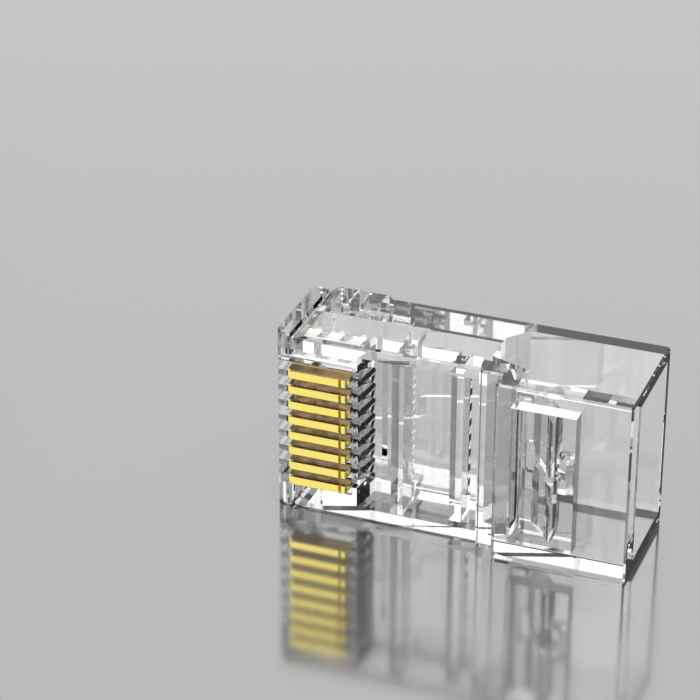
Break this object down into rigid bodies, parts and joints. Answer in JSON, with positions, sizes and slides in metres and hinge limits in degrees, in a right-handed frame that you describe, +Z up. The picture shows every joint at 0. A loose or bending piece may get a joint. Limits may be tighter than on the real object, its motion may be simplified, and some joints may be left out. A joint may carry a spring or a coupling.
{
  "type": "modular plug",
  "caption": "Clear modular network plug before crimping, with raised gold contacts in a slotted comb, tilting clamp bars and a flexing latch lever.",
  "frame": {"origin": "on the resting side wall, half way along the body and half way up its front part", "axes": "+X towards the cable entry, -Y towards the contacts, +Y towards the latch lever, +Z up across the width of the plug, which stands on one narrow side wall"},
  "size_m": [0.0227, 0.0147, 0.0116],
  "materials": {
    "clear_plastic": "clear moulded polycarbonate, polished",
    "contact_gold": "gold-plated stamped alloy, bright on top, satin on the blades"
  },
  "bodies": {
    "housing": {"plug_body": "clear_plastic"},
    "latch": {"latch_lever": "clear_plastic"},
    "conductor_bar": {"conductor_clamp_bar": "clear_plastic"},
    "jacket_bar": {"jacket_clamp_bar": "clear_plastic"},
    "pin_1": {"contact_1": "contact_gold"},
    "pin_2": {"contact_2": "contact_gold"},
    "pin_3": {"contact_3": "contact_gold"},
    "pin_4": {"contact_4": "contact_gold"},
    "pin_5": {"contact_5": "contact_gold"},
    "pin_6": {"contact_6": "contact_gold"},
    "pin_7": {"contact_7": "contact_gold"},
    "pin_8": {"contact_8": "contact_gold"}
  },
  "joints": [
    {"name": "latch_press", "type": "hinge", "parent": "housing", "child": "latch", "pos_m": [-0.01085, 0.0038, 0.0058], "axis": [0, 0, -1], "range_deg": [0, 14], "stiffness_Nm_per_rad": 0.05},
    {"name": "conductor_bar_crimp", "type": "slide", "parent": "housing", "child": "conductor_bar", "axis": [0, 1, 0], "range_m": [0, 0.0014]},
    {"name": "jacket_bar_crimp", "type": "hinge", "parent": "housing", "child": "jacket_bar", "pos_m": [0.00395, -0.00205, 0.0058], "axis": [0, 0, 1], "range_deg": [0, 20]},
    {"name": "contact_1_crimp", "type": "slide", "parent": "housing", "child": "pin_1", "axis": [0, 1, 0], "range_m": [0, 0.0011]},
    {"name": "contact_2_crimp", "type": "slide", "parent": "housing", "child": "pin_2", "axis": [0, 1, 0], "range_m": [0, 0.0011]},
    {"name": "contact_3_crimp", "type": "slide", "parent": "housing", "child": "pin_3", "axis": [0, 1, 0], "range_m": [0, 0.0011]},
    {"name": "contact_4_crimp", "type": "slide", "parent": "housing", "child": "pin_4", "axis": [0, 1, 0], "range_m": [0, 0.0011]},
    {"name": "contact_5_crimp", "type": "slide", "parent": "housing", "child": "pin_5", "axis": [0, 1, 0], "range_m": [0, 0.0011]},
    {"name": "contact_6_crimp", "type": "slide", "parent": "housing", "child": "pin_6", "axis": [0, 1, 0], "range_m": [0, 0.0011]},
    {"name": "contact_7_crimp", "type": "slide", "parent": "housing", "child": "pin_7", "axis": [0, 1, 0], "range_m": [0, 0.0011]},
    {"name": "contact_8_crimp", "type": "slide", "parent": "housing", "child": "pin_8", "axis": [0, 1, 0], "range_m": [0, 0.0011]}
  ]
}
